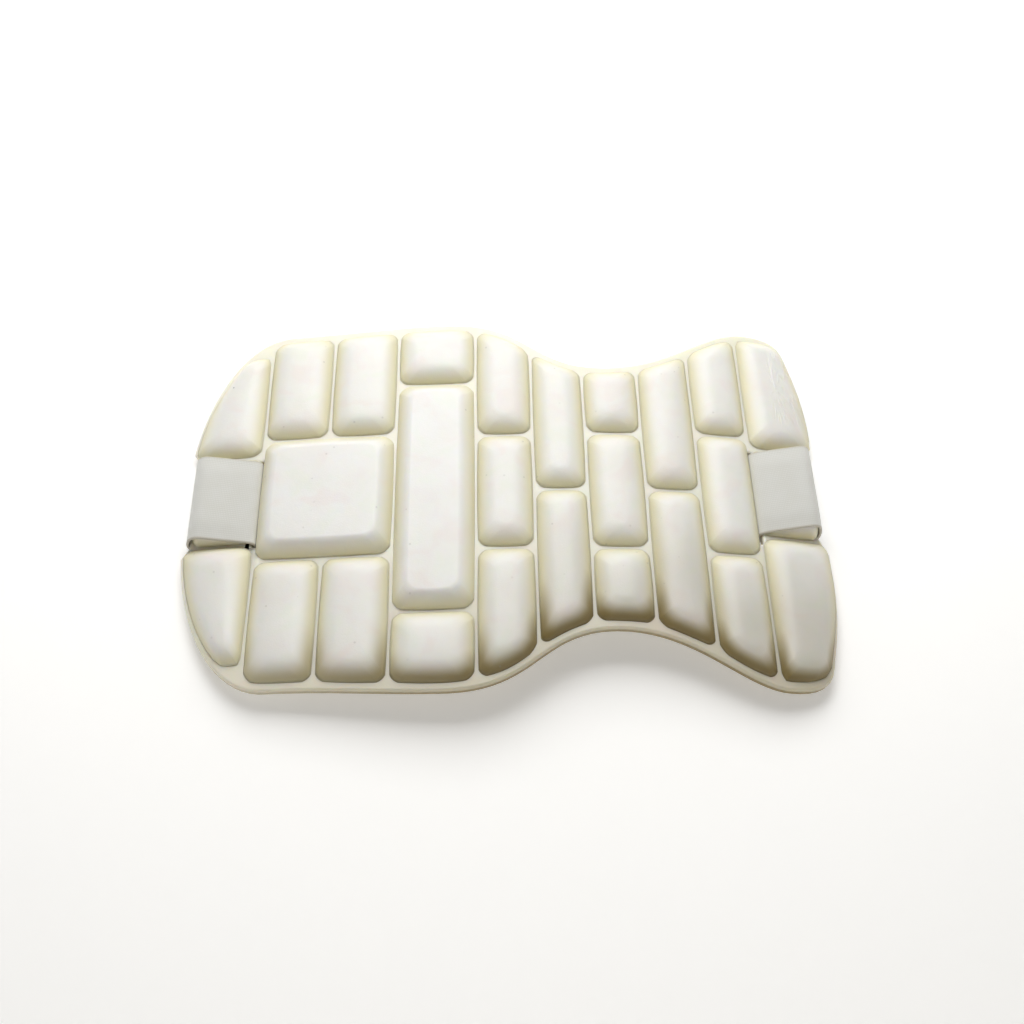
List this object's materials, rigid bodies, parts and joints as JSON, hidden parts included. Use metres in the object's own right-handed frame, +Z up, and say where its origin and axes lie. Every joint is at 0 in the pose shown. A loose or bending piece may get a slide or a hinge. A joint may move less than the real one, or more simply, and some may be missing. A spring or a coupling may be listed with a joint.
{
  "type": "cricket chest guard",
  "caption": "Waisted cricket chest guard of moulded cream foam: raised pads on a thin arched sheet, with a wide elastic strap looped through slots at both ends.",
  "frame": {"origin": "on the table, under the middle of the guard's bounding box", "axes": "+X along the guard from the end with the square block to the waisted end, +Y across it, +Z up out of the padded front"},
  "size_m": [0.2996, 0.2004, 0.0245],
  "materials": {
    "foam_sheet": "satin closed-cell foam skin",
    "foam_pad": "satin closed-cell foam skin",
    "foam_block": "satin closed-cell foam skin",
    "elastic": "fine woven elastic, matte"
  },
  "bodies": {
    "root": {"foam_sheet": "foam_sheet", "pad_1_upper": "foam_pad", "pad_1_middle": "foam_pad", "pad_1_lower": "foam_pad", "pad_2_upper": "foam_pad", "pad_2_lower": "foam_pad", "pad_3_upper": "foam_pad", "pad_3_lower": "foam_pad", "badge_block": "foam_block", "pad_4_upper": "foam_pad", "centre_block": "foam_block", "pad_4_lower": "foam_pad", "pad_5_upper": "foam_pad", "pad_5_middle": "foam_pad", "pad_5_lower": "foam_pad", "pad_6_upper": "foam_pad", "pad_6_lower": "foam_pad", "pad_7_upper": "foam_pad", "pad_7_middle": "foam_pad", "pad_7_lower": "foam_pad", "pad_8_upper": "foam_pad", "pad_8_lower": "foam_pad", "pad_9_upper": "foam_pad", "pad_9_middle": "foam_pad", "pad_9_lower": "foam_pad", "pad_10_upper": "foam_pad", "pad_10_middle": "foam_pad", "pad_10_lower": "foam_pad", "elastic_strap": "elastic"}
  },
  "joints": []
}
